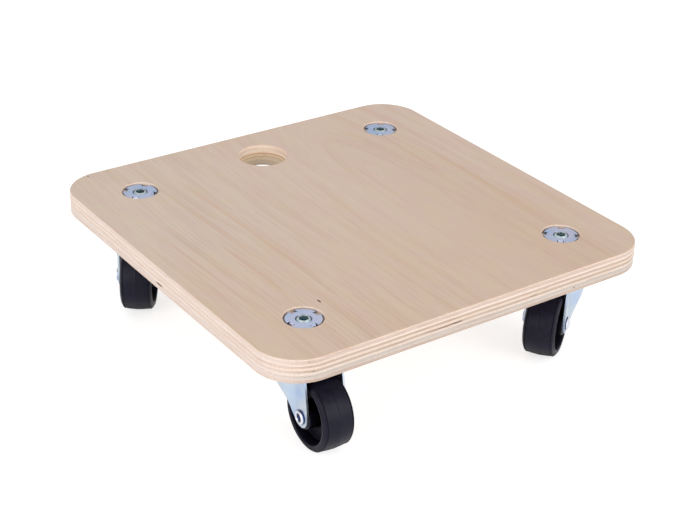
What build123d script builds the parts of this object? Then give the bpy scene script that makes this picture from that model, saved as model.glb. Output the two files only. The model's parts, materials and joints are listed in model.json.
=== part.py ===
"""A small square furniture dolly: a plywood deck on four swivel casters.

Every caster has a threaded stem that screws into a pronged tee nut let into the deck's top face.
Millimetres. The origin is on the floor under the deck's centre, +Z is up and the deck's grip hole
lies towards +Y.
"""
from build123d import *
import os

# ---- driving dimensions -------------------------------------------------------------------------
deck_side = 300.0
deck_thickness = 16.5
deck_corner_radius = 30.0
deck_top_edge_radius = 1.0
deck_bottom_edge_radius = 0.5
grip_hole_radius = 18.0
grip_hole_top_edge_radius = 1.2
grip_hole_bottom_edge_radius = 0.4
grip_hole_centre = (0.8, 111.0)

caster_spacing = 211.0          # between neighbouring stems
caster_height = 65.0            # floor to the underside of the deck
caster_offset = 21.4            # from the swivel axis back to the wheel's axle

wheel_radius = 25.0
wheel_width = 22.5
wheel_crown = 0.8               # how much smaller the tread is at its edges
shoulder_width = 2.3            # the rounded band between the tread and the wheel's side, along the axle
shoulder_height = 3.7           # the same, towards the axle
shoulder_bulge = 0.25           # how far the band leans out from the tread's edge
rim_width = 1.2                 # flat side of the rim, before its inner edge is rounded
rim_edge_radius = 1.0
recess_draft = 1.0              # how much narrower the recess is at the web
hub_radius = 8.2
hub_draft = 0.4
hub_gap = 0.3                   # between a hub face and the fork leg beside it
hub_edge_radius = 0.5
bore_edge_radius = 0.2
web_half = 3.5                  # half the thickness of the wheel's web
web_root_radius = 1.5

sheet = 1.4                     # thickness of the fork's steel
leg_outer = 14.3                # from the wheel's middle to a leg's outer face
head_radius = 19.6              # the fork's round head
leg_bend_radius = 12.0          # concave bend between the head and a leg
head_edge_radius = 2.4
leg_back = 28.6                 # trailing edge of a leg, from the swivel axis
leg_back_top = 24.4             # the same at the web
leg_back_shoulder = 33.0        # height where the trailing edge starts to lean forward
leg_end = 18.0                  # height of a leg's rounded end
leg_foot = 17.4                 # where the rounded end meets the front edge, from the swivel axis
leg_front = [(13.0, 24.5), (8.2, 37.0)]     # front edge, along and up
leg_front_top = 54.0            # height of the head's rim at its front
leg_edge_bends = [0, 20, 7, 6, 12, 25, 2, 0]    # radii along a leg's outline, from its back top
leg_reach = 50.0                # the legs' length before they are trimmed to their outline
running_clearance = 0.08        # radial, wheel bore on its sleeve
fixed_clearance = 0.05          # radial, round a pin in a hole that it does not turn in
swivel_gap = 0.3                # between a ball and the race that turns past it
web_drop = 7.4                  # from the deck's underside down to the fork's web
seat_rise = 1.4                 # height of the raised ball seat in the middle of the web
seat_thickness = 2.2
seat_radius = 18.4
seat_edge_radius = 0.8
lower_pocket_radius = 12.3
swivel_bore_gap = 0.45          # radial, the stem in the fork

stem_radius = 4.95              # M10 thread, just under its nominal size
thread_pitch = 1.5
thread_depth = 0.6
hex_key_size = 6.0              # across flats
hex_socket_depth = 6.0
stem_rise = 0.3                 # how far the stem stands above the tee nut's flange
stem_top_chamfer = 1.1
stem_foot_thickness = 1.8       # the foot that is peened over the lower race
stem_foot_radius = 8.0
stem_foot_chamfer = (1.2, 0.7)  # across and along the stem
collar_radius = 7.0
collar_thickness = 2.0

tee_nut_radius = 12.0
tee_nut_flange = 1.5            # thickness
tee_nut_length = 12.0
tee_nut_drop = 0.9              # from the deck's top face down to the flange
prong_count = 4
prong_width = 3.6
prong_length = 8.0
prong_inset = 3.2               # from the flange's rim in to a prong's bend
prong_point = 3.0               # length of a prong's slanted point
prong_point_width = 0.3
notch_room = 1.0                # how much wider than its prong the notch in the flange is
thread_gap = 0.1                # radial, the stem in the tee nut
barrel_wall = 1.05
flange_edge_chamfer = 0.25
bore_chamfer = 0.5
counterbore_gap = 1.1           # radial, round the flange
counterbore_chamfer = 0.35
wood_gap = 0.05                 # between the tee nut and the wood that it is pressed into

# One caster at each corner: the corner's side of the deck in x and y, the direction its wheel
# trails in, and how far its tee nut is turned, both in degrees from +X.
corners = {
    "fl": (-1, -1, -92.5, 6.0),
    "fr": (1, -1, 214.8, 47.0),
    "rl": (-1, 1, 234.8, 43.0),
    "rr": (1, 1, 163.0, 53.0),
}

# ---- sizes that follow --------------------------------------------------------------------------
deck_top = caster_height + deck_thickness
flange_top = deck_top - tee_nut_drop
flange_bottom = flange_top - tee_nut_flange
counterbore_radius = tee_nut_radius + counterbore_gap
tee_nut_bore_radius = stem_radius + thread_gap
barrel_radius = tee_nut_bore_radius + barrel_wall
barrel_hole_radius = barrel_radius + wood_gap
prong_inner = tee_nut_radius - prong_inset
notch_width = prong_width + notch_room

leg_inner = leg_outer - sheet
axle_height = wheel_radius
web_top = caster_height - web_drop
web_bottom = web_top - sheet
seat_top = web_top + seat_rise
seat_bottom = seat_top - seat_thickness

cap_sheet = 1.8
cap_bottom = caster_height - cap_sheet
cap_radius = 21.0
cap_lip_inner = cap_radius - cap_sheet
cap_lip_gap = 0.8               # between the cap's lip and the fork's web
cap_lip_bottom = web_top + cap_lip_gap
cap_bends = [0.2, 0.2, 3.2, 0.6, 0.6, 1.6]      # radii round the cap's section, from its bore

upper_ball_radius = 2.4
upper_ball_pitch_radius = 15.4
upper_ball_count = 18
upper_ball_height = (cap_bottom + seat_top) / 2
lower_ball_radius = 1.8
lower_ball_pitch_radius = 8.5
lower_ball_count = 13
lower_ball_drop = 1.5           # from the fork's web to the balls' middle, and on to the race
lower_ball_height = seat_bottom - lower_ball_drop
lower_race_top = lower_ball_height - lower_ball_drop
lower_race_thickness = 2.0
lower_race_bottom = lower_race_top - lower_race_thickness
lower_race_radius = 11.9
lower_race_rim = 1.2            # thickness of its upturned rim
lower_race_rim_height = 1.4
lower_race_bends = [0.2, 0.2, 0.4, 0.4, 0.4, 1.4]   # radii round its section, from its bore
ball_seat_gap = 0.1             # between a ball and the race that it rides with

stem_top = flange_top + stem_rise
swivel_bore_radius = stem_radius + swivel_bore_gap

axle_radius = 3.7
axle_head_radius = 4.7
axle_head_neck = 4.3            # radius of both ends where they meet a leg
axle_head_height = 2.1
axle_head_rim = 0.6             # height of the domed head's rim
axle_ring_height = 1.8
axle_ring_crest = (3.3, 3.9)    # inner and outer radius of the ring's flat crest
axle_hollow_radius = 2.85
axle_hollow_depth = 7.0
axle_hollow_flare = 0.6
axle_hollow_cone = 1.2          # depth of the cone at the hollow's end
axle_dome = (0.6, 0.84)         # a point on the dome, as shares of the head's radius and height
sleeve_radius = 4.7
wheel_bore_radius = sleeve_radius + running_clearance


def ring_of_balls(ball_radius, pitch_radius, count, height):
    """Return a ring of separate balls around the swivel axis."""
    with BuildPart() as balls:
        with Locations((0, 0, height)):
            with PolarLocations(pitch_radius, count):
                Sphere(ball_radius)
    return balls.part


# ---- deck: one plywood board ---------------------------------------------------------------------
half_spacing = caster_spacing / 2
stem_places = [(sx * half_spacing, sy * half_spacing) for sx, sy, _, _ in corners.values()]

with BuildPart() as deck:
    with BuildSketch(Plane.XY.offset(caster_height)):
        RectangleRounded(deck_side, deck_side, deck_corner_radius)
    extrude(amount=deck_thickness)
    fillet(deck.faces().sort_by(Axis.Z)[-1].edges(), deck_top_edge_radius)
    fillet(deck.faces().sort_by(Axis.Z)[0].edges(), deck_bottom_edge_radius)
    with BuildSketch(Plane.XY.offset(caster_height)):
        with Locations(grip_hole_centre):
            Circle(grip_hole_radius)
    extrude(amount=deck_thickness, mode=Mode.SUBTRACT)
    grip_rims = deck.edges().filter_by(GeomType.CIRCLE).filter_by(
        lambda edge: abs(edge.radius - grip_hole_radius) < 0.01)
    fillet(grip_rims.sort_by(Axis.Z)[-1], grip_hole_top_edge_radius)
    fillet(deck.faces().sort_by(Axis.Z)[0].inner_wires().edges(), grip_hole_bottom_edge_radius)
    with BuildSketch(Plane.XY.offset(flange_bottom)):
        with Locations(*stem_places):
            Circle(counterbore_radius)
    extrude(amount=deck_top - flange_bottom, mode=Mode.SUBTRACT)
    counterbore_rims = deck.faces().sort_by(Axis.Z)[-1].inner_wires().edges().filter_by(
        lambda edge: abs(edge.radius - counterbore_radius) < 0.01)
    chamfer(counterbore_rims, counterbore_chamfer)
    with BuildSketch(Plane.XY.offset(caster_height)):
        with Locations(*stem_places):
            Circle(barrel_hole_radius)
    extrude(amount=deck_thickness, mode=Mode.SUBTRACT)
    # slots that the prongs have bitten
    for side_x, side_y, _, nut_turn in corners.values():
        centre = Location((side_x * half_spacing, side_y * half_spacing, 0), (0, 0, nut_turn))
        with BuildSketch(Plane(centre).offset(flange_bottom)):
            with PolarLocations(prong_inner + tee_nut_flange / 2, prong_count):
                Rectangle(tee_nut_flange + 2 * wood_gap, prong_width + 2 * wood_gap)
        extrude(amount=-prong_length - wood_gap, mode=Mode.SUBTRACT)

# ---- tee nut: flange, threaded barrel and four prongs bent down out of the flange ------------------
prong_root = prong_inner - 1.0      # inside the flange, so that the prong fuses with it
with BuildPart() as prong:
    with BuildSketch(Plane.XZ):
        with BuildLine():
            Line((prong_root, flange_top), (prong_inner, flange_top))
            CenterArc((prong_inner, flange_bottom), tee_nut_flange, 0, 90)
            Polyline(
                (prong_inner + tee_nut_flange, flange_bottom),
                (prong_inner + tee_nut_flange, flange_bottom - prong_length + prong_point),
                (prong_inner + prong_point_width, flange_bottom - prong_length),
                (prong_inner, flange_bottom - prong_length),
                (prong_inner, flange_bottom),
                (prong_root, flange_bottom),
                (prong_root, flange_top),
            )
        make_face()
    extrude(amount=prong_width / 2, both=True)

with BuildPart() as tee_nut:
    with BuildSketch(Plane.XY.offset(flange_bottom)):
        Circle(tee_nut_radius)
    extrude(amount=tee_nut_flange)
    chamfer(tee_nut.edges().group_by(Axis.Z)[-1], flange_edge_chamfer)
    with BuildSketch(Plane.XY.offset(flange_top)):
        with PolarLocations(prong_inner, prong_count):
            Rectangle(2 * prong_inset, notch_width, align=(Align.MIN, Align.CENTER))
    extrude(amount=-tee_nut_flange, mode=Mode.SUBTRACT)
    with BuildSketch(Plane.XY.offset(flange_bottom)):
        Circle(barrel_radius)
    extrude(amount=tee_nut_flange - tee_nut_length)
    with PolarLocations(0, prong_count):
        add(prong.part)
    with BuildSketch(Plane.XY.offset(flange_top)):
        Circle(tee_nut_bore_radius)
    extrude(amount=-tee_nut_length, mode=Mode.SUBTRACT)
    bore_rims = tee_nut.edges().filter_by(GeomType.CIRCLE).filter_by(
        lambda edge: abs(edge.radius - tee_nut_bore_radius) < 0.01)
    chamfer(bore_rims.sort_by(Axis.Z)[-1], bore_chamfer)

# ---- stem: threaded stud, collar and shank, its foot peened over the lower race --------------------
thread_start = caster_height + 1.0
thread_end = stem_top - 1.2
thread_turns = int((thread_end - thread_start) / thread_pitch)
groove_half = 0.44 * thread_pitch   # half the width of a groove at the thread's crests
groove_mouth = stem_radius + 0.01   # just outside the crests
with BuildPart() as stem:
    with BuildSketch(Plane.XZ):
        with BuildLine():
            Polyline(
                (0, lower_race_bottom - stem_foot_thickness),
                (stem_foot_radius - stem_foot_chamfer[0], lower_race_bottom - stem_foot_thickness),
                (stem_foot_radius, lower_race_bottom - stem_foot_chamfer[1]),
                (stem_foot_radius, lower_race_bottom),
                (stem_radius, lower_race_bottom),
                (stem_radius, cap_bottom - collar_thickness),
                (collar_radius, cap_bottom - collar_thickness),
                (collar_radius, cap_bottom),
                (stem_radius, cap_bottom),
                (stem_radius, stem_top - stem_top_chamfer),
                (stem_radius - stem_top_chamfer, stem_top),
                (0, stem_top),
                close=True,
            )
        make_face()
        for turn in range(thread_turns + 1):
            root = thread_start + turn * thread_pitch
            with BuildLine():
                Polyline(
                    (groove_mouth, root - groove_half),
                    (stem_radius - thread_depth, root),
                    (groove_mouth, root + groove_half),
                    close=True,
                )
            make_face(mode=Mode.SUBTRACT)
    revolve(axis=Axis.Z)
    with BuildSketch(Plane.XY.offset(stem_top)):
        RegularPolygon(hex_key_size / 2, 6, major_radius=False)
    extrude(amount=-hex_socket_depth, mode=Mode.SUBTRACT)

# ---- top race: dished cap under the deck, with a lip around the fork's ball seat --------------------
with BuildPart() as top_race:
    with BuildSketch(Plane.XZ):
        with BuildLine():
            FilletPolyline(
                (stem_radius + fixed_clearance, cap_bottom),
                (stem_radius + fixed_clearance, caster_height),
                (cap_radius, caster_height),
                (cap_radius, cap_lip_bottom),
                (cap_lip_inner, cap_lip_bottom),
                (cap_lip_inner, cap_bottom),
                radius=cap_bends,
                close=True,
            )
        make_face()
        with Locations((upper_ball_pitch_radius, upper_ball_height)):
            Circle(upper_ball_radius + swivel_gap, mode=Mode.SUBTRACT)
    revolve(axis=Axis.Z)

# ---- fork: one drawn stamping, a round head that runs back into two legs beside the wheel -----------
def fork_plan(inset):
    """Return the fork's plan: the round head, a concave bend either side and the straight legs."""
    with BuildSketch() as plan:
        Circle(head_radius - inset)
        Rectangle(leg_reach, 2 * (leg_outer - inset), align=(Align.MIN, Align.CENTER))
        junctions = plan.vertices().filter_by(lambda vertex: 0 < vertex.X < head_radius)
        fillet(junctions, leg_bend_radius + inset)
    return plan.sketch


with BuildPart() as fork:
    extrude(fork_plan(0), amount=web_top)
    fillet(fork.faces().sort_by(Axis.Z)[-1].edges(), head_edge_radius)
    extrude(fork_plan(sheet), amount=web_bottom, mode=Mode.SUBTRACT)
    with BuildSketch(Plane.XZ):
        with BuildLine():
            FilletPolyline(
                (leg_back_top, web_top),
                (leg_back, leg_back_shoulder),
                (leg_back, leg_end),
                (leg_foot, leg_end),
                *leg_front,
                (-head_radius, leg_front_top),
                (-head_radius, web_top),
                radius=leg_edge_bends,
                close=True,
            )
        make_face()
    extrude(amount=leg_reach, both=True, mode=Mode.INTERSECT)
    with BuildSketch(Plane.XY.offset(web_bottom)):
        Circle(seat_radius)
    extrude(amount=seat_top - web_bottom)
    fillet(fork.faces().sort_by(Axis.Z)[-1].edges(), seat_edge_radius)
    # ball grooves, the pocket over the lower race and the bore for the stem
    with BuildSketch(Plane.XZ):
        Rectangle(swivel_bore_radius, caster_height, align=Align.MIN)
        with Locations((0, lower_race_bottom)):
            Rectangle(lower_pocket_radius, seat_bottom - lower_race_bottom, align=Align.MIN)
        with Locations((lower_ball_pitch_radius, lower_ball_height)):
            Circle(lower_ball_radius + ball_seat_gap)
        with Locations((upper_ball_pitch_radius, upper_ball_height)):
            Circle(upper_ball_radius + ball_seat_gap)
    revolve(axis=Axis.Z, mode=Mode.SUBTRACT)
    with BuildSketch(Plane.XZ):
        with Locations((caster_offset, axle_height)):
            Circle(axle_radius + fixed_clearance)
    extrude(amount=leg_reach, both=True, mode=Mode.SUBTRACT)

# ---- lower race: cupped washer under the fork's web, held by the stem's peened foot -----------------
with BuildPart() as lower_race:
    with BuildSketch(Plane.XZ):
        with BuildLine():
            FilletPolyline(
                (stem_radius + fixed_clearance, lower_race_bottom),
                (stem_radius + fixed_clearance, lower_race_top),
                (lower_race_radius - lower_race_rim, lower_race_top),
                (lower_race_radius - lower_race_rim, lower_race_top + lower_race_rim_height),
                (lower_race_radius, lower_race_top + lower_race_rim_height),
                (lower_race_radius, lower_race_bottom),
                radius=lower_race_bends,
                close=True,
            )
        make_face()
        with Locations((lower_ball_pitch_radius, lower_ball_height)):
            Circle(lower_ball_radius + swivel_gap, mode=Mode.SUBTRACT)
    revolve(axis=Axis.Z)

# ---- axle: semi-tubular rivet, a domed head on one leg and a flared ring on the other ---------------
axle_plane = Plane((caster_offset, 0, axle_height))
axle_line = Axis((caster_offset, 0, axle_height), (0, 1, 0))
ring_face = -leg_outer - axle_ring_height
with BuildPart() as axle:
    with BuildSketch(axle_plane):
        with BuildLine():
            ThreePointArc(
                (0, leg_outer + axle_head_height),
                (axle_head_radius * axle_dome[0], leg_outer + axle_head_height * axle_dome[1]),
                (axle_head_radius, leg_outer + axle_head_rim),
            )
            Polyline(
                (axle_head_radius, leg_outer + axle_head_rim),
                (axle_head_neck, leg_outer),
                (axle_radius, leg_outer),
                (axle_radius, -leg_outer),
                (axle_head_neck, -leg_outer),
            )
            ThreePointArc(
                (axle_head_neck, -leg_outer),
                (axle_head_radius, -leg_outer - axle_ring_height / 2),
                (axle_ring_crest[1], ring_face),
            )
            Polyline(
                (axle_ring_crest[1], ring_face),
                (axle_ring_crest[0], ring_face),
                (axle_hollow_radius, ring_face + axle_hollow_flare),
                (axle_hollow_radius, ring_face + axle_hollow_depth),
                (0, ring_face + axle_hollow_depth + axle_hollow_cone),
                (0, leg_outer + axle_head_height),
            )
        make_face()
    revolve(axis=axle_line)

# ---- sleeve: steel tube that spaces the legs and that the wheel turns on ----------------------------
sleeve_half = leg_inner - fixed_clearance
with BuildPart() as sleeve:
    with BuildSketch(Plane.XZ.offset(-sleeve_half)):
        with Locations((caster_offset, axle_height)):
            Circle(sleeve_radius)
            Circle(axle_radius + fixed_clearance, mode=Mode.SUBTRACT)
    extrude(amount=2 * sleeve_half)

# ---- wheel: moulded in one piece, crowned tread, deep recesses either side of its web ---------------
half_width = wheel_width / 2
hub_face = leg_inner - hub_gap
tread_edge = (wheel_radius - wheel_crown, half_width - shoulder_width)
rim_outer = tread_edge[0] - shoulder_height
rim_inner = rim_outer - rim_width
with BuildPart() as wheel:
    with BuildSketch(axle_plane):
        with BuildLine():
            ThreePointArc(
                (wheel_radius, 0),
                (wheel_radius - wheel_crown / 4, tread_edge[1] / 2),
                tread_edge,
            )
            Bezier(tread_edge, (tread_edge[0] - shoulder_bulge, half_width), (rim_outer, half_width))
            FilletPolyline(
                (rim_outer, half_width),
                (rim_inner, half_width),
                (rim_inner - recess_draft, web_half),
                (hub_radius + hub_draft, web_half),
                (hub_radius, hub_face),
                (wheel_bore_radius, hub_face),
                (wheel_bore_radius, 0),
                radius=[rim_edge_radius, web_root_radius, web_root_radius, hub_edge_radius, bore_edge_radius],
            )
            Line((wheel_bore_radius, 0), (wheel_radius, 0))
        make_face()
        mirror(about=Plane.XZ)
    revolve(axis=axle_line)

# ---- write every piece: the deck once, the caster pieces at each corner -----------------------------
os.makedirs("parts", exist_ok=True)
deck.part.label = "deck"
export_step(deck.part, "parts/deck.step")

upper_balls = ring_of_balls(upper_ball_radius, upper_ball_pitch_radius, upper_ball_count, upper_ball_height)
lower_balls = ring_of_balls(lower_ball_radius, lower_ball_pitch_radius, lower_ball_count, lower_ball_height)
fixed_pieces = {"stem": stem.part, "top_race": top_race.part, "lower_race": lower_race.part}
swivelling_pieces = {
    "fork": fork.part,
    "upper_balls": upper_balls,
    "lower_balls": lower_balls,
    "axle": axle.part,
    "sleeve": sleeve.part,
    "wheel": wheel.part,
}
for corner, (side_x, side_y, heading, nut_turn) in corners.items():
    stem_x, stem_y = side_x * half_spacing, side_y * half_spacing
    turns = {"tee_nut": (tee_nut.part, nut_turn)}
    turns |= {name: (piece, nut_turn) for name, piece in fixed_pieces.items()}
    turns |= {name: (piece, heading) for name, piece in swivelling_pieces.items()}
    for name, (piece, turn) in turns.items():
        placed = piece.moved(Location((stem_x, stem_y, 0), (0, 0, turn)))
        placed.label = f"{name}_{corner}"
        export_step(placed, f"parts/{placed.label}.step")
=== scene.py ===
"""Looks of a small furniture dolly: a plywood deck on four swivel casters.

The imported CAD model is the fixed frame. Metres, +Z up, the floor is at z = 0. The deck is replaced
by a board with gaps in its core plies and face, and the wheels by moulded ones. Every other CAD
node stays and gets a procedural material. Sizes in millimetres are multiplied by MM.
"""
import json
import math

import bmesh
import bpy
from mathutils import Matrix, Vector


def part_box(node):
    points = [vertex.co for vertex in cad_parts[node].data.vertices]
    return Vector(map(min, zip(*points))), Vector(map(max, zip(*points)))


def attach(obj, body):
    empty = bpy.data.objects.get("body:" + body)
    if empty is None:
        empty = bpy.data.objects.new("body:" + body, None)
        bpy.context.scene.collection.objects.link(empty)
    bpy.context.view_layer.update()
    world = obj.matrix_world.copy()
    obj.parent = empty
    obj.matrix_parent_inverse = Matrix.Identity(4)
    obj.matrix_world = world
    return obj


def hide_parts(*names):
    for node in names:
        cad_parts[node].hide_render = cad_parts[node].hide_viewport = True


MM = 0.001
CORNERS = ("fl", "fr", "rl", "rr")

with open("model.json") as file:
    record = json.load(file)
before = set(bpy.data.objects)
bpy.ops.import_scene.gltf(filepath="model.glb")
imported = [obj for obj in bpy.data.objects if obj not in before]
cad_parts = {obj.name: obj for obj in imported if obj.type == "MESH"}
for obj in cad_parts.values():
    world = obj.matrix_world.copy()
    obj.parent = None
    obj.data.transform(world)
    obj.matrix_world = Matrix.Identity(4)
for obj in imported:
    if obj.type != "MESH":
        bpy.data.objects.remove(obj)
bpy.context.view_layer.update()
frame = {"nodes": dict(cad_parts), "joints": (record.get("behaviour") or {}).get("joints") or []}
deck_low, deck_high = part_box("deck")
DECK_TOP = deck_high.z
DECK_THICKNESS = deck_high.z - deck_low.z
HALF_DECK = deck_high.x / MM
GRIP_HOLE = (0.8, 111.0, 18.0)      # centre and radius, mm

# the wheel's section, in mm: radii, and half widths along the axle
WHEEL = 24.98
HALF_WIDTH = 11.25
TREAD_MIDDLE = 24.92            # beside the ridge of the parting line
TREAD_EDGE = 24.2
CREASE = 9.05                   # between the tread and the shoulder, along the axle
SHOULDER_BEVEL = 0.55
RIM_OUTER = 21.4
RIM_INNER = 19.5
RECESS_DRAFT = 1.0
WEB_HALF = 3.5
HUB = 8.2
HUB_DRAFT = 0.4
HUB_FACE = 12.6
BORE = 4.78
# the radii that round the section's corners, from the bore out to the shoulder
CORNER_RADII = (0.25, 0.6, 1.5, 1.6, 1.1, 0.9, 1.5)
# the crease's outline, out from TREAD_EDGE and along from CREASE
CREASE_OUTLINE = ((0.12, 0.2), (-0.42, 0.02), (-0.40, -0.08), (0.02, -0.22))
# the parting line's ridge, out from WHEEL and along from the middle
RIDGE_OUTLINE = ((-0.07, 0.22), (0.0, 0.06))
ARC_STEP = math.radians(12)     # along the rounded corners
CROWN_STEPS = 10
CROWN_POWER = 1.5
WHEEL_SEGMENTS = 160
WELD = 1e-7                     # metres
SHARP = math.radians(38)        # edges bent by more than this stay sharp


# ---- shader graphs -------------------------------------------------------------------------------
class Graph:
    """A material's node tree, with one short call for each kind of node."""

    def __init__(self, name, metallic=0.0):
        self.material = bpy.data.materials.new(name)
        self.material.use_nodes = True
        self.tree = self.material.node_tree
        self.shader = self.tree.nodes["Principled BSDF"]
        self.shader.inputs["Metallic"].default_value = metallic
        self.position = self.node("ShaderNodeTexCoord").outputs["Object"]

    def node(self, kind, **settings):
        made = self.tree.nodes.new(kind)
        for key, value in settings.items():
            setattr(made, key, value)
        return made

    def feed(self, socket, value):
        """Link an output to the socket, or set a plain value on it."""
        if isinstance(value, bpy.types.NodeSocket):
            self.tree.links.new(value, socket)
        else:
            socket.default_value = value

    def math(self, operation, a, b=0.0, c=0.0):
        made = self.node("ShaderNodeMath", operation=operation)
        for socket, value in zip(made.inputs, (a, b, c)):
            self.feed(socket, value)
        return made.outputs[0]

    def distance(self, a, b):
        """Length of the flat vector a, b."""
        squares = self.math("ADD", self.math("MULTIPLY", a, a), self.math("MULTIPLY", b, b))
        return self.math("SQRT", squares)

    def step(self, value, low, high, to_low=0.0, to_high=1.0):
        """Smooth step of value between low and high."""
        made = self.node("ShaderNodeMapRange", interpolation_type="SMOOTHSTEP")
        for socket, given in zip(made.inputs, (value, low, high, to_low, to_high)):
            self.feed(socket, given)
        return made.outputs[0]

    def parts(self, vector):
        made = self.node("ShaderNodeSeparateXYZ")
        self.feed(made.inputs[0], vector)
        return made.outputs

    def vector(self, x, y, z):
        made = self.node("ShaderNodeCombineXYZ")
        for socket, value in zip(made.inputs, (x, y, z)):
            self.feed(socket, value)
        return made.outputs[0]

    def scaled(self, vector, scale):
        made = self.node("ShaderNodeVectorMath", operation="MULTIPLY")
        self.feed(made.inputs[0], vector)
        made.inputs[1].default_value = scale
        return made.outputs[0]

    def millimetres(self):
        return self.scaled(self.position, (1.0 / MM,) * 3)

    def noise(self, vector, scale=1.0, detail=2.0, roughness=0.5):
        made = self.node("ShaderNodeTexNoise")
        self.feed(made.inputs["Vector"], vector)
        made.inputs["Scale"].default_value = scale
        made.inputs["Detail"].default_value = detail
        made.inputs["Roughness"].default_value = roughness
        return made.outputs["Fac"]

    def crevice(self, reach, low=0.35, high=0.95):
        """0 in the open to 1 deep in a gap narrower than reach, in metres."""
        made = self.node("ShaderNodeAmbientOcclusion", samples=8)
        made.inputs["Distance"].default_value = reach
        return self.step(made.outputs["AO"], low, high, 1.0, 0.0)

    def mix(self, factor, a, b, blend="MIX"):
        made = self.node("ShaderNodeMix", data_type="RGBA", blend_type=blend)
        self.feed(made.inputs[0], factor)
        self.feed(made.inputs[6], a if not isinstance(a, tuple) else (*a, 1.0))
        self.feed(made.inputs[7], b if not isinstance(b, tuple) else (*b, 1.0))
        return made.outputs[2]

    def tint(self, factor, colour, by):
        """The colour multiplied by another one, by a share of factor."""
        return self.mix(factor, colour, self.mix(1.0, colour, by, "MULTIPLY"))

    def ramp(self, factor, stops, interpolation="LINEAR"):
        made = self.node("ShaderNodeValToRGB")
        self.feed(made.inputs[0], factor)
        made.color_ramp.interpolation = interpolation
        elements = made.color_ramp.elements
        elements.remove(elements[1])
        for index, (place, colour) in enumerate(stops):
            element = elements[0] if index == 0 else elements.new(place)
            element.position = place
            element.color = (*colour, 1.0)
        return made.outputs[0]

    def finish(self, colour, roughness, height=None, depth=0.0, strength=1.0):
        """Feed the shader. Height is 0 to 1 and depth its full range in metres."""
        self.feed(self.shader.inputs["Base Color"], colour)
        self.feed(self.shader.inputs["Roughness"], roughness)
        if height is not None:
            bump = self.node("ShaderNodeBump")
            bump.inputs["Distance"].default_value = depth
            bump.inputs["Strength"].default_value = strength
            self.feed(bump.inputs["Height"], height)
            self.feed(self.shader.inputs["Normal"], bump.outputs[0])
        return self.material


# ---- materials -----------------------------------------------------------------------------------
# plies from the top face down: thickness in mm and linear colour
PLIES = (
    (0.9, (0.66, 0.52, 0.43)),
    (2.1, (0.50, 0.40, 0.345)),
    (1.6, (0.66, 0.545, 0.475)),
    (1.5, (0.42, 0.325, 0.262)),
    (1.8, (0.61, 0.49, 0.41)),
    (1.6, (0.415, 0.325, 0.262)),
    (1.7, (0.60, 0.505, 0.44)),
    (1.6, (0.435, 0.385, 0.345)),
    (1.5, (0.49, 0.42, 0.38)),
    (1.3, (0.43, 0.345, 0.29)),
    (0.9, (0.47, 0.375, 0.315)),
)
SIDE_FACE_PAINTED_LIGHT = (0.645, 0.535, 0.485)
# how far the plies wave up and down, how softly one blends into the next, both in mm
PLY_WAVE = 0.9
PLY_BLEND = 0.18
SEAM_HALF = 0.010               # half a glue line's thickness, as a share of the board's
FIBRE_SHADE = (0.86, 0.83, 0.80)
BAND_SHADE = (0.92, 0.87, 0.83)
VENEER = (0.500, 0.386, 0.318)
VENEER_WARM = (0.475, 0.347, 0.272)
VENEER_TAN = (0.480, 0.372, 0.285)
VENEER_DARK = (0.37, 0.27, 0.205)
VENEER_STREAK = (0.445, 0.290, 0.185)
# what the veneer's colour is multiplied by in its regions
FRONT_TINT = (0.975, 0.945, 0.90)
ROSY_TINT = (0.970, 0.950, 0.935)
COOL_TINT = (0.990, 1.018, 1.035)
MOTTLE_GREEN = (1.0, 1.020, 0.972)
MOTTLE_ROSE = (0.995, 0.975, 1.0)
# the growth rings close into a pointed arch about this line and wander to its sides, in mm
ARCH_X = 57.0
ARCH_TAPER = 0.2
WANDER = 14.0
STREAK_FADE = 15.0              # half the length over which a streak's end fades, in mm
# darker streaks of the top veneer, in mm: x, y from, y to, half width, strength
STREAKS = (
    (-90, -25, 150, 0.9, 0.45),
    (-100, -75, 0, 0.9, 0.55),
    (-72, -60, 95, 1.8, 0.45),
    (-126, -120, 20, 0.8, 0.35),
    (97, 20, 110, 1.4, 0.45),
    (113, -80, 50, 1.8, 0.50),
    (45, -10, 60, 1.3, 0.30),
    (3, -40, 40, 1.0, 0.20),
)
# the grip hole's wall by depth: its plies with painted light near the top and painted shade lower
# down, and the band round the hole where it fades out, in mm
HOLE_FADE = (1.0, 1.4)
HOLE_WALL_PLIES_AND_SHADE = (
    (0.00, (0.72, 0.55, 0.41)),
    (0.12, (0.68, 0.54, 0.44)),
    (0.19, (0.56, 0.47, 0.38)),
    (0.26, (0.72, 0.58, 0.46)),
    (0.36, (0.74, 0.60, 0.45)),
    (0.385, (0.42, 0.23, 0.10)),
    (0.42, (0.44, 0.25, 0.12)),
    (0.45, (0.62, 0.49, 0.33)),
    (0.54, (0.60, 0.46, 0.30)),
    (0.57, (0.42, 0.30, 0.17)),
    (0.61, (0.55, 0.43, 0.29)),
    (0.74, (0.54, 0.43, 0.30)),
    (0.78, (0.40, 0.30, 0.19)),
    (0.84, (0.50, 0.39, 0.27)),
    (0.91, (0.40, 0.32, 0.24)),
    (1.00, (0.38, 0.30, 0.23)),
)
GLUE = (0.72, 0.50, 0.38)
KNOT_AND_SHADE = (0.10, 0.055, 0.035)
NYLON_SCUFF = (0.10, 0.10, 0.12)
# painted shade: the colour and the specular level deep in the wheel's recesses
NYLON_PAINTED_SHADE = (0.0012, 0.0012, 0.0020)
NYLON_SHEEN = 0.13              # specular level in the open
NYLON_SHADED_SHEEN = 0.02
TOP_MM = DECK_TOP / MM
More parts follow.
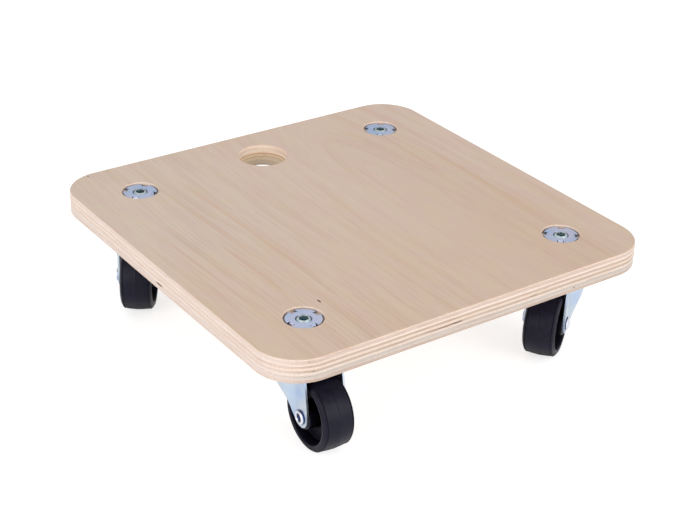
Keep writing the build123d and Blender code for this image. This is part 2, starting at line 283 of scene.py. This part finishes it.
# dark spots, in mm: centre, radii, strength; knots, streaks and flecks, and painted shade in and
# round the crack and the void that GAPS cuts
SPOTS = (
    (-86.3, -94.0, TOP_MM, 0.9, 2.1, 0.8, 0.9),
    (-126.3, 145.7, TOP_MM, 0.7, 1.2, 0.8, 0.7),
    (-29.0, -HALF_DECK, TOP_MM - 8.8, 15.0, 2.0, 0.35, 0.35),
    (-19.5, -HALF_DECK, TOP_MM - 8.6, 4.5, 2.0, 0.5, 0.45),
    (-130.0, -148.6, TOP_MM - 1.45, 0.7, 2.0, 0.35, 0.6),
    (-127.0, -148.4, TOP_MM - 8.7, 0.7, 2.0, 0.4, 0.7),
    (-HALF_DECK, -2.7, TOP_MM - 12.2, 3.0, 4.4, 0.6, 0.95),
    (43.6, -HALF_DECK, TOP_MM - 8.5, 3.4, 1.5, 0.4, 0.55),
    (53.2, -HALF_DECK, TOP_MM - 6.3, 2.4, 1.5, 0.3, 0.25),
    (78.8, -HALF_DECK, TOP_MM - 13.2, 0.9, 1.0, 0.5, 0.7),
)
# gaps cut into the wood, in mm: centre, along, into, half length, half height, reach
GAPS = (
    ((-29.0, -HALF_DECK, TOP_MM - 8.8), (1, 0, 0), (0, 1, 0), 14.0, 0.17, 2.2),
    ((-19.5, -HALF_DECK, TOP_MM - 8.75), (1, 0, 0), (0, 1, 0), 3.8, 0.40, 3.0),
    ((-HALF_DECK, -2.7, TOP_MM - 12.2), (0, 1, 0), (-1, 0, 0), 4.1, 0.5, 3.0),
    ((-86.3, -94.0, TOP_MM), (0, 1, 0), (0, 0, 1), 1.9, 0.5, 0.4),
)


def board_edges(g, mm, share, sideways):
    """The colour of the board's cut edges, with plies by depth and glue lines, and their fibres."""
    x, y, _ = g.parts(mm)
    stops, crossed, glue = [], [], []
    down = 0.0
    total = DECK_THICKNESS / MM
    for number, (thickness, colour) in enumerate(PLIES):
        stops.append(((down + PLY_BLEND) / total, colour))
        stops.append(((down + thickness - PLY_BLEND) / total, colour))
        crossed.append((down / total, (number % 2,) * 3))
        down += thickness
        if number < len(PLIES) - 1:
            glue.append(down / total)
    plies = g.ramp(share, stops)
    cross = g.ramp(share, crossed, "CONSTANT")
    # painted light: on the faces that look along X the plies are mixed towards one light colour,
    # lighter and flatter, for how those faces are lit
    plies = g.mix(g.step(sideways, 0.25, 0.9, 0.0, 0.62), plies, SIDE_FACE_PAINTED_LIGHT)

    # thin reddish glue lines that come and go
    seams = g.ramp(share, [stop for place in glue for stop in (
        (place - SEAM_HALF, (0.0,) * 3), (place, (1.0,) * 3), (place + SEAM_HALF, (0.0,) * 3))])
    come_and_go = g.noise(g.scaled(mm, (0.035, 0.035, 0.5)), 1.0, 3.0, 0.6)
    seam = g.math("MULTIPLY", seams, g.step(come_and_go, 0.42, 0.62, 0.08, 0.85))
    plies = g.tint(seam, plies, GLUE)

    # the grip hole's wall has its plies with painted light near the top and painted shade lower down
    centre_x, centre_y, radius = GRIP_HOLE
    from_hole = g.distance(g.math("SUBTRACT", x, centre_x), g.math("SUBTRACT", y, centre_y))
    fade_from, fade_to = (radius + distance for distance in HOLE_FADE)
    in_hole = g.step(from_hole, fade_from, fade_to, 0.8, 0.0)
    plies = g.mix(in_hole, plies, g.ramp(share, HOLE_WALL_PLIES_AND_SHADE))

    # fibres run along Y in the odd plies and along X in the others
    along_y = g.noise(g.scaled(mm, (1.3, 0.05, 2.6)), 1.0, 3.0, 0.6)
    along_x = g.noise(g.scaled(mm, (0.05, 1.3, 2.6)), 1.0, 3.0, 0.6)
    fibres = g.math("ADD", g.math("MULTIPLY", g.math("SUBTRACT", 1.0, cross), along_y),
                    g.math("MULTIPLY", cross, along_x))
    bands = g.noise(g.scaled(mm, (0.03, 0.03, 0.9)), 1.0, 2.0)
    edge = g.tint(g.step(fibres, 0.42, 0.62), plies, FIBRE_SHADE)
    edge = g.tint(g.step(bands, 0.45, 0.75), edge, BAND_SHADE)
    return edge, fibres


def face_veneer(g, mm):
    """The face veneer: rings nearly straight along Y, closing into an arch right of the middle."""
    x, y, _ = g.parts(mm)
    drift = g.noise(g.scaled(mm, (0.010, 0.0035, 0.0)), 1.0, 2.0)
    bent = g.math("ADD", x, g.math("MULTIPLY", drift, WANDER))
    across = g.math("SUBTRACT", bent, ARCH_X + WANDER / 2)
    rise = g.math("MULTIPLY", g.math("MAXIMUM", y, 0.0), ARCH_TAPER)
    ring = g.distance(across, rise)
    slow_y = g.math("MULTIPLY", y, 0.010)
    slow_x = g.math("MULTIPLY", x, 0.02)
    fine = g.noise(g.vector(g.math("MULTIPLY", ring, 0.95), slow_y, slow_x), 1.0, 4.0, 0.66)
    broad = g.noise(g.vector(g.math("MULTIPLY", ring, 0.16), slow_y, slow_x), 1.0, 3.0, 0.6)
    cloud = g.noise(g.scaled(mm, (0.016, 0.006, 0.0)), 1.0, 2.0)

    # the lines are strong in a band left of the middle and faint in the arch
    dense = g.math("MULTIPLY", g.step(x, -140.0, -115.0), g.step(x, -66.0, -40.0, 1.0, 0.0))
    arch = g.step(ring, 8.0, 34.0, 1.0, 0.0)
    lines = g.math("MULTIPLY_ADD", dense, 0.28, g.math("MULTIPLY", arch, -0.12))
    lines = g.math("ADD", 0.34, lines)
    warm = g.math("MULTIPLY", g.step(broad, 0.42, 0.68), g.math("MULTIPLY_ADD", arch, -0.7, 0.85))
    face = g.mix(warm, VENEER, VENEER_WARM)
    face = g.mix(g.math("MULTIPLY", g.step(fine, 0.45, 0.74), lines), face, VENEER_DARK)
    face = g.mix(g.step(cloud, 0.40, 0.72, 0.0, 0.30), face, VENEER_TAN)

    # cool at the left, yellower at the front, rosy right of the middle, mottled all over
    cool = g.math("MULTIPLY", g.step(x, -20.0, -60.0), g.step(y, -60.0, 40.0))
    face = g.tint(cool, face, COOL_TINT)
    face = g.tint(g.step(y, 70.0, -120.0, 0.0, 0.8), face, FRONT_TINT)
    rosy = g.math("MULTIPLY", g.step(x, 25.0, 80.0), g.step(x, 112.0, 130.0, 1.0, 0.0))
    rosy = g.math("MULTIPLY", rosy, g.step(y, 125.0, 80.0))
    face = g.tint(rosy, face, ROSY_TINT)
    mottle = g.noise(g.scaled(mm, (0.07, 0.028, 0.0)), 1.0, 4.0, 0.62)
    face = g.mix(g.step(mottle, 0.35, 0.65), g.mix(1.0, face, MOTTLE_GREEN, "MULTIPLY"),
                 g.mix(1.0, face, MOTTLE_ROSE, "MULTIPLY"))

    for place, low, high, half, strength in STREAKS:
        off = g.math("ABSOLUTE", g.math("SUBTRACT", bent, place + WANDER / 2))
        inside = g.step(off, 0.0, half * 2, strength, 0.0)
        ends = g.math(
            "MULTIPLY",
            g.step(y, low - STREAK_FADE, low + STREAK_FADE),
            g.step(y, high - STREAK_FADE, high + STREAK_FADE, 1.0, 0.0),
        )
        face = g.mix(g.math("MULTIPLY", inside, ends), face, VENEER_STREAK)
    return face


def dark_spots(g, mm, colour):
    """The colour with its knots, and with painted shade at its gaps: brown to black where they are.
    """
    for kx, ky, kz, rx, ry, rz, strength in SPOTS:
        shifted = g.node("ShaderNodeVectorMath", operation="SUBTRACT")
        g.feed(shifted.inputs[0], mm)
        shifted.inputs[1].default_value = (kx, ky, kz)
        squeezed = g.scaled(shifted.outputs[0], (1.0 / rx, 1.0 / ry, 1.0 / rz))
        length = g.node("ShaderNodeVectorMath", operation="LENGTH")
        g.feed(length.inputs[0], squeezed)
        colour = g.mix(g.step(length.outputs["Value"], 0.55, 1.3, strength, 0.0), colour, KNOT_AND_SHADE)
    return colour


def plywood():
    """Plywood all through: face veneer with its grain along Y, plies in their own colours below."""
    g = Graph("plywood")
    mm = g.millimetres()
    _, _, z = g.parts(mm)
    normal = g.parts(g.node("ShaderNodeNewGeometry").outputs["Normal"])

    # depth in the board as a share of its thickness, a little uneven
    slow = g.noise(g.scaled(mm, (0.022, 0.022, 0.0)), 1.0, 2.0)
    depth = g.math("SUBTRACT", DECK_TOP / MM, z)
    depth = g.math("ADD", depth, g.math("MULTIPLY_ADD", slow, PLY_WAVE, -PLY_WAVE / 2))
    share = g.math("DIVIDE", depth, DECK_THICKNESS / MM)
    edge, fibres = board_edges(g, mm, share, g.math("ABSOLUTE", normal[0]))
    face = face_veneer(g, mm)

    # faces are what looks up or down near the top or the bottom
    upward = g.step(g.math("ABSOLUTE", normal[2]), 0.55, 0.85)
    from_middle = g.math("ABSOLUTE", g.math("SUBTRACT", share, 0.5))
    skin = g.math("MULTIPLY", upward, g.step(from_middle, 0.40, 0.44))
    colour = dark_spots(g, mm, g.mix(skin, edge, face))
    # painted shade: the wood turns dark brown in narrow crevices and gaps
    colour = g.mix(g.math("MULTIPLY", g.crevice(1.6 * MM, 0.25, 0.7), 0.55), colour, KNOT_AND_SHADE)

    pores = g.noise(g.scaled(mm, (3.0, 0.25, 3.0)), 1.0, 2.0, 0.7)
    height = g.math("ADD", g.math("MULTIPLY", fibres, 0.6), g.math("MULTIPLY", pores, 0.4))
    rough = g.step(fibres, 0.3, 0.7, 0.52, 0.68)
    return g.finish(colour, rough, height, 0.06 * MM, 0.5)


def zinc(name, tones, shade, reach=1.8):
    """Zinc plating with a blue passivation over rolled steel.

    It has three tones in soft patches, and painted shade in gaps narrower than reach, in mm.
    """
    g = Graph(name, metallic=1.0)
    mm = g.millimetres()
    patches = g.noise(mm, 0.055, 2.0, 0.5)
    grain = g.noise(g.scaled(mm, (1.0, 1.0, 0.2)), 1.6, 3.0, 0.6)
    colour = g.ramp(patches, tuple(zip((0.32, 0.50, 0.70), tones)))
    # painted shade: the colour goes to the shade colour in gaps narrower than reach
    colour = g.mix(g.crevice(reach * MM), colour, shade)
    rough = g.step(grain, 0.3, 0.7, 0.30, 0.44)
    return g.finish(colour, rough, grain, 0.02 * MM, 0.35)


def bearing_steel():
    """Hardened balls with a film of grease."""
    g = Graph("bearing_steel", metallic=1.0)
    mm = g.millimetres()
    film = g.noise(mm, 0.9, 2.0)
    colour = g.ramp(film, ((0.35, (0.60, 0.60, 0.60)), (0.65, (0.52, 0.49, 0.43))))
    return g.finish(colour, g.step(film, 0.3, 0.7, 0.10, 0.26), film, 0.01 * MM, 0.3)


def black_plastic():
    """Moulded black nylon: a fine matt grain, slightly polished and scuffed, with painted shade in
    recesses.
    """
    g = Graph("black_plastic")
    mm = g.millimetres()
    grain = g.noise(mm, 6.0, 2.0, 0.6)
    marks = g.noise(mm, 0.35, 3.0, 0.6)
    colour = g.ramp(marks, ((0.40, (0.0047, 0.0045, 0.0120)), (0.72, (0.0084, 0.0080, 0.0188))))
    scuffs = g.noise(g.scaled(mm, (0.30, 0.30, 0.75)), 1.0, 4.0, 0.72)
    colour = g.mix(g.step(scuffs, 0.665, 0.74, 0.0, 0.30), colour, NYLON_SCUFF)
    # painted shade: near-black colour and a lower specular level deep in the wheel's recesses
    deep = g.crevice(16.0 * MM, 0.40, 0.88)
    colour = g.mix(deep, colour, NYLON_PAINTED_SHADE)
    sheen = g.math("MULTIPLY_ADD", deep, NYLON_SHADED_SHEEN - NYLON_SHEEN, NYLON_SHEEN)
    g.feed(g.shader.inputs["Specular IOR Level"], sheen)
    rough = g.step(marks, 0.35, 0.70, 0.36, 0.50)
    return g.finish(colour, rough, grain, 0.012 * MM, 0.4)


# ---- the deck's board ----------------------------------------------------------------------------
def gap_cutter(name, centre, along, into, half_length, half_height, reach):
    """A long irregular lens, in mm, to be cut out of the wood: along an edge and into it."""
    sections, points = 14, 8        # along the lens and round it
    along, into = Vector(along), Vector(into)
    upright = along.cross(into)
    mesh = bmesh.new()
    rings = []
    for section in range(1, sections):
        place = 2.0 * section / sections - 1.0
        swell = (1.0 - place * place) ** 0.6
        swell *= 0.72 + 0.28 * math.sin(5.1 * place + half_length)
        middle = Vector(centre) + along * place * half_length
        middle += upright * 0.16 * half_height * math.sin(7.0 * place + 1.0)
        ring = []
        for point in range(points):
            angle = 2.0 * math.pi * point / points
            offset = upright * math.sin(angle) * half_height * swell
            offset += into * math.cos(angle) * reach * (0.5 + 0.5 * swell)
            ring.append(mesh.verts.new((middle + offset) * MM))
        rings.append(ring)
    ends = [Vector(centre) + along * side * half_length for side in (-1.0, 1.0)]
    tips = [mesh.verts.new(end * MM) for end in ends]
    for first, second in zip(rings, rings[1:]):
        for point in range(points):
            other = (point + 1) % points
            mesh.faces.new((first[point], first[other], second[other], second[point]))
    for tip, ring in zip(tips, (rings[0], rings[-1])):
        for point in range(points):
            mesh.faces.new((tip, ring[point], ring[(point + 1) % points]))
    bmesh.ops.recalc_face_normals(mesh, faces=mesh.faces)
    data = bpy.data.meshes.new(name)
    mesh.to_mesh(data)
    mesh.free()
    cutter = bpy.data.objects.new(name, data)
    bpy.context.scene.collection.objects.link(cutter)
    return cutter


def make_board(material):
    """The deck with the small gaps that its core plies and its top veneer have."""
    board = bpy.data.objects.new("deck_board", frame["nodes"]["deck"].data.copy())
    bpy.context.scene.collection.objects.link(board)
    cutters = [gap_cutter(f"gap_{number}", *gap) for number, gap in enumerate(GAPS)]
    for cutter in cutters:
        cut = board.modifiers.new(cutter.name, "BOOLEAN")
        cut.operation = "DIFFERENCE"
        cut.solver = "EXACT"
        cut.object = cutter
    cut_board = board.evaluated_get(bpy.context.evaluated_depsgraph_get())
    whole = bpy.data.meshes.new_from_object(cut_board)
    board.modifiers.clear()
    board.data = whole
    for cutter in cutters:
        bpy.data.objects.remove(cutter)
    whole.materials.clear()
    whole.materials.append(material)
    whole.name = "deck_board"
    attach(board, "deck_assembly")
    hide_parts("deck")


# ---- wheels --------------------------------------------------------------------------------------
def rounded(points, radii):
    """The open line through the 2D points, with each inner corner rounded to its radius."""
    line = [Vector(points[0])]
    for before, corner, after, radius in zip(points, points[1:], points[2:], radii):
        before, corner, after = Vector(before), Vector(corner), Vector(after)
        back, on = (before - corner).normalized(), (after - corner).normalized()
        half = back.angle(on) / 2
        reach = radius / math.tan(half)
        centre = corner + (back + on).normalized() * radius / math.sin(half)
        start, end = corner + back * reach, corner + on * reach
        steps = max(2, math.ceil((math.pi - 2 * half) / ARC_STEP))
        for number in range(steps + 1):
            share = number / steps
            direction = (start - centre).slerp(end - centre, share)
            line.append(centre + direction)
    line.append(Vector(points[-1]))
    return line


def wheel_profile():
    """Half of the wheel's section, from its bore out to the middle of the tread: radius, along."""
    lip, *groove, edge = ((TREAD_EDGE + out, CREASE + along) for out, along in CREASE_OUTLINE)
    side = rounded(
        [
            (BORE, 0.0),
            (BORE, HUB_FACE),
            (HUB, HUB_FACE),
            (HUB + HUB_DRAFT, WEB_HALF),
            (RIM_INNER - RECESS_DRAFT, WEB_HALF),
            (RIM_INNER, HALF_WIDTH),
            (RIM_OUTER, HALF_WIDTH),
            (TREAD_EDGE, HALF_WIDTH - SHOULDER_BEVEL),
            lip,
        ],
        CORNER_RADII,
    )
    tread = [edge]
    crown = TREAD_MIDDLE - edge[0]
    for number in range(1, CROWN_STEPS):
        place = 1.0 - number / CROWN_STEPS
        tread.append((TREAD_MIDDLE - crown * place ** CROWN_POWER, edge[1] * place))
    ridge = [(WHEEL + out, along) for out, along in RIDGE_OUTLINE]
    return [tuple(point) for point in side] + groove + tread + ridge


def make_wheel(corner, material):
    """One moulded wheel, turned about the axle that its roll joint names."""
    joint = next(joint for joint in frame["joints"] if joint["name"] == f"roll_{corner}")
    axle = Vector(joint["axis"]).normalized()
    centre = Vector(joint["pos_m"])
    outward = Vector((0.0, 0.0, 1.0))
    forward = axle.cross(outward)
    half = wheel_profile()
    profile = half + [(radius, -along) for radius, along in reversed(half)]
    mesh = bmesh.new()
    rings = []
    for segment in range(WHEEL_SEGMENTS):
        angle = 2.0 * math.pi * segment / WHEEL_SEGMENTS
        spoke = outward * math.cos(angle) + forward * math.sin(angle)
        places = [centre + (spoke * radius + axle * along) * MM for radius, along in profile]
        rings.append([mesh.verts.new(place) for place in places])
    for segment, ring in enumerate(rings):
        other = rings[(segment + 1) % WHEEL_SEGMENTS]
        for point in range(len(profile)):
            ahead = (point + 1) % len(profile)
            mesh.faces.new((ring[point], ring[ahead], other[ahead], other[point])).smooth = True
    bmesh.ops.remove_doubles(mesh, verts=mesh.verts, dist=WELD)
    bmesh.ops.recalc_face_normals(mesh, faces=mesh.faces)
    data = bpy.data.meshes.new(f"moulded_wheel_{corner}")
    mesh.to_mesh(data)
    mesh.free()
    data.set_sharp_from_angle(angle=SHARP)
    data.materials.append(material)
    wheel = bpy.data.objects.new(f"moulded_wheel_{corner}", data)
    bpy.context.scene.collection.objects.link(wheel)
    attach(wheel, f"wheel_{corner}")
    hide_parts(f"wheel_{corner}")


# ---- camera, floor and light ---------------------------------------------------------------------
CAMERA_AZIMUTH = -35.729
CAMERA_ELEVATION = 28.461
CAMERA_ROLL = 1.675
CAMERA_DISTANCE = 1.02615
CAMERA_TARGET = (-0.04313, -0.06605, 0.0815)
CAMERA_LENS = 80.73
CAMERA_SENSOR = 36.0
CAMERA_NEAR = 0.01
CAMERA_FAR = 50.0
FLOOR_REACH = 12.0
FLOOR_GLOW = 0.70
FLOOR_ROUGHNESS = 0.75
WORLD_STRENGTH = 0.75
# name, azimuth and elevation in degrees as the camera's, distance and size in metres, watts
SOFTBOXES = (
    ("front_left", -75, 22, 2.2, 1.4, 26),
    ("front_right", 20, 22, 2.2, 1.4, 26),
    ("overhead", 160, 65, 2.4, 1.6, 10),
)


def towards(azimuth, elevation):
    """Direction from the dolly out, azimuth from -Y towards +X, angles in radians."""
    return Vector((
        math.sin(azimuth) * math.cos(elevation),
        -math.cos(azimuth) * math.cos(elevation),
        math.sin(elevation),
    ))


def make_camera():
    azimuth, elevation, roll = map(math.radians, (CAMERA_AZIMUTH, CAMERA_ELEVATION, CAMERA_ROLL))
    back = towards(azimuth, elevation)
    right = Vector((math.cos(azimuth), math.sin(azimuth), 0.0))
    up = back.cross(right)
    turned_right = math.cos(roll) * right + math.sin(roll) * up
    turned_up = math.cos(roll) * up - math.sin(roll) * right
    camera = bpy.data.objects.new("camera", bpy.data.cameras.new("camera"))
    bpy.context.scene.collection.objects.link(camera)
    camera.matrix_world = Matrix((
        (*turned_right, 0.0), (*turned_up, 0.0), (*back, 0.0), (0.0, 0.0, 0.0, 1.0),
    )).transposed()
    camera.location = Vector(CAMERA_TARGET) + back * CAMERA_DISTANCE
    camera.data.lens = CAMERA_LENS
    camera.data.sensor_width = CAMERA_SENSOR
    camera.data.clip_start = CAMERA_NEAR
    camera.data.clip_end = CAMERA_FAR
    bpy.context.scene.camera = camera


def make_floor():
    mesh = bpy.data.meshes.new("floor")
    signs = ((-1, -1), (1, -1), (1, 1), (-1, 1))
    corners = [(x * FLOOR_REACH, y * FLOOR_REACH, 0.0) for x, y in signs]
    mesh.from_pydata(corners, [], [(0, 1, 2, 3)])
    floor = bpy.data.objects.new("floor", mesh)
    bpy.context.scene.collection.objects.link(floor)
    g = Graph("studio_floor")
    tint = g.noise(g.position, 3.0, 2.0)
    g.shader.inputs["Emission Color"].default_value = (1.0, 1.0, 1.0, 1.0)
    g.shader.inputs["Emission Strength"].default_value = FLOOR_GLOW
    colour = g.ramp(tint, ((0.3, (0.43, 0.43, 0.43)), (0.7, (0.47, 0.47, 0.47))))
    mesh.materials.append(g.finish(colour, FLOOR_ROUGHNESS))


def softbox(name, azimuth, elevation, distance, size, power):
    """A square white area light that looks at the dolly."""
    light = bpy.data.lights.new(name, "AREA")
    light.shape = "SQUARE"
    light.size = size
    light.energy = power
    lamp = bpy.data.objects.new(name, light)
    bpy.context.scene.collection.objects.link(lamp)
    back = towards(math.radians(azimuth), math.radians(elevation))
    lamp.location = Vector((0.0, 0.0, DECK_TOP)) + back * distance
    lamp.rotation_euler = back.to_track_quat("Z", "Y").to_euler()


def make_light():
    scene = bpy.context.scene
    scene.view_settings.view_transform = "Standard"
    world = bpy.data.worlds.new("studio")
    world.use_nodes = True
    background = world.node_tree.nodes["Background"]
    background.inputs["Color"].default_value = (1.0, 1.0, 1.0, 1.0)
    background.inputs["Strength"].default_value = WORLD_STRENGTH
    scene.world = world
    for lamp in SOFTBOXES:
        softbox(*lamp)


make_camera()
make_floor()
make_light()

ZINC_TONES = {
    "fork": ((0.36, 0.47, 0.66), (0.46, 0.53, 0.62), (0.52, 0.57, 0.62)),
    "tee_nut": ((0.37, 0.48, 0.69), (0.46, 0.52, 0.68), (0.54, 0.54, 0.69)),
    "stem": ((0.42, 0.48, 0.50), (0.52, 0.57, 0.58), (0.62, 0.66, 0.66)),
    "axle": ((0.56, 0.60, 0.68), (0.64, 0.66, 0.72), (0.70, 0.71, 0.74)),
}
ZINC_TONES |= {name: ZINC_TONES["fork"] for name in ("top_race", "lower_race", "sleeve")}
ZINC_PAINTED_SHADE = (0.05, 0.055, 0.07)
materials = {name: zinc(f"zinc_{name}", tones, ZINC_PAINTED_SHADE) for name, tones in ZINC_TONES.items()}
# painted shade: teal in the stem's hex socket and dark blue in the rivet's hollow
materials["stem"] = zinc("zinc_stem", ZINC_TONES["stem"], (0.10, 0.46, 0.58), 3.2)
materials["axle"] = zinc("zinc_axle", ZINC_TONES["axle"], (0.02, 0.12, 0.48), 4.0)
materials["upper_balls"] = materials["lower_balls"] = bearing_steel()
materials["wheel"] = black_plastic()
materials["deck"] = plywood()
for name, node in frame["nodes"].items():
    kind = name if name in materials else name.rsplit("_", 1)[0]
    for slot in node.material_slots:
        slot.material = materials[kind]
make_board(materials["deck"])
for corner in CORNERS:
    make_wheel(corner, materials["wheel"])
